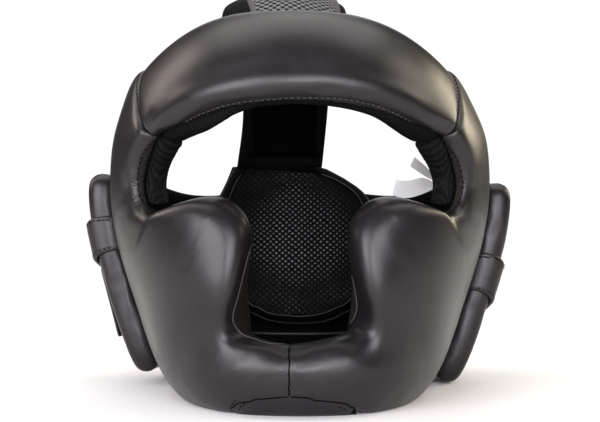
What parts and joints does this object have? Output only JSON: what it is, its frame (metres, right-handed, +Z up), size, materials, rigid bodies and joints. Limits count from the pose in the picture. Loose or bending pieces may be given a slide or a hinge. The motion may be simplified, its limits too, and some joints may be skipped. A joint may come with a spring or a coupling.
{
  "type": "martial arts head guard",
  "caption": "Full face padded leather head guard with arched brow pad, cheek pads, chin bar, ear pads with bands, mesh rear pad and crown strap.",
  "frame": {"origin": "middle of the bounding box, on the floor under the guard", "axes": "+Z up, -Y out of the face, +X to the right as seen from the front"},
  "size_m": [0.2604, 0.238, 0.2385],
  "materials": {
    "leather": "smooth satin charcoal leather",
    "rear_leather": "plain dark leather",
    "lining": "black ribbed lining",
    "mesh": "black bumpy spacer mesh",
    "label": "pale woven ribbon, blank"
  },
  "bodies": {
    "root": {"brow_pad": "leather", "brow_lining": "lining", "side_shell_left": "leather", "side_shell_right": "leather", "side_lining_left": "lining", "side_lining_right": "lining", "chin_gusset": "leather", "rear_panel": "rear_leather", "rear_pad": "mesh", "crown_strap": "mesh", "ear_pad_left": "leather", "ear_pad_right": "leather", "side_strap_left": "leather", "side_strap_right": "leather", "strap_tail_left": "leather", "care_label": "label"}
  },
  "joints": []
}
